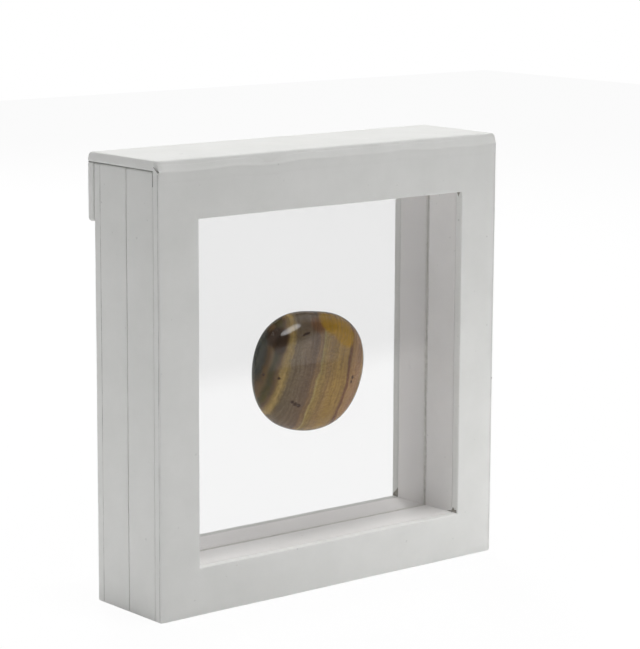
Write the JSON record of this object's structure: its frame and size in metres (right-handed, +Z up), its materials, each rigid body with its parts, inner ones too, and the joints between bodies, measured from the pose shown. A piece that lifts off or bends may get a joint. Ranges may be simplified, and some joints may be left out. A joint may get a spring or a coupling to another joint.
{
  "type": "floating picture frame",
  "caption": "Square paper-covered display frame that opens like a book; clear elastic films hold a tumbled stone floating in its window.",
  "frame": {"origin": "middle of the footprint, on the surface that the frame stands on", "axes": "+X to the right seen from the front, +Y from the front face to the back flap, +Z up"},
  "size_m": [0.11, 0.0294, 0.1133],
  "materials": {
    "cover_paper": "matte",
    "greyboard": "matte",
    "core": "matte",
    "film": "gloss",
    "film_card": "matte",
    "magnet": "gloss",
    "tumbled_stone": "polished"
  },
  "bodies": {
    "front_half": {"front_board": "greyboard", "front_face_wrap": "cover_paper", "front_rail_top": "core", "front_rail_bottom": "core", "front_rail_left": "core", "front_rail_right": "core", "front_side_wrap": "cover_paper", "front_base_strip": "cover_paper", "front_window_lining": "cover_paper", "front_film": "film", "front_film_card": "film_card", "front_magnets": "magnet", "display_stone": "tumbled_stone"},
    "spine": {"spine_board": "greyboard", "spine_wrap": "cover_paper", "spine_lining": "cover_paper"},
    "back_half": {"flap_board": "greyboard", "flap_wrap": "cover_paper", "back_board": "greyboard", "back_face_wrap": "cover_paper", "back_rail_top": "core", "back_rail_bottom": "core", "back_rail_left": "core", "back_rail_right": "core", "back_side_wrap": "cover_paper", "back_base_strip": "cover_paper", "back_window_lining": "cover_paper", "back_film": "film", "back_film_card": "film_card", "back_magnets": "magnet"}
  },
  "joints": [
    {"name": "spine_hinge", "type": "hinge", "parent": "front_half", "child": "spine", "pos_m": [0, -0.01465, 0.1109], "axis": [1, 0, 0], "range_deg": [0, 90]},
    {"name": "back_hinge", "type": "hinge", "parent": "spine", "child": "back_half", "pos_m": [0, 0.01465, 0.1109], "axis": [1, 0, 0], "range_deg": [0, 90]}
  ]
}
